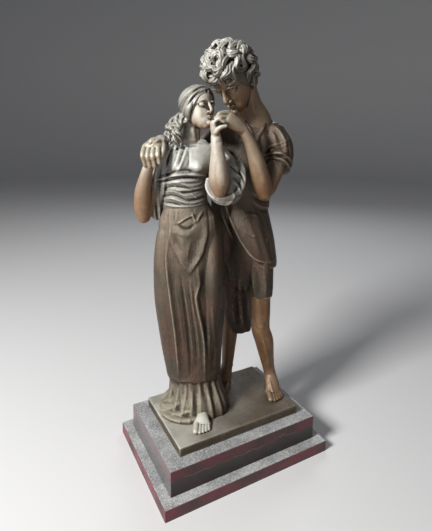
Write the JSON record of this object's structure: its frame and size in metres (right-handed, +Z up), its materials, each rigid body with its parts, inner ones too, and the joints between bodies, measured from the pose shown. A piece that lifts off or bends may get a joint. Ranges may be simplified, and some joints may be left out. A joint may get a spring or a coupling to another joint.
{
  "type": "couple sculpture",
  "caption": "Bronze group of a young couple standing close, with joined hands raised between them, on a stepped stone base.",
  "frame": {"origin": "middle of the lower stone slab's underside, on the ground", "axes": "+Z up; +X along the long front side of the base, to the right as seen from its front; the front faces -Y"},
  "size_m": [0.338, 0.2498, 0.7914],
  "materials": {
    "bronze": "patinated bronze, brown, waxed",
    "block_stone": "polished veined stone, grey and dark red",
    "slab_stone": "polished dark red stone with a grey top"
  },
  "bodies": {
    "root": {"couple_with_plinth": "bronze", "base_block": "block_stone", "base_slab": "slab_stone"}
  },
  "joints": []
}
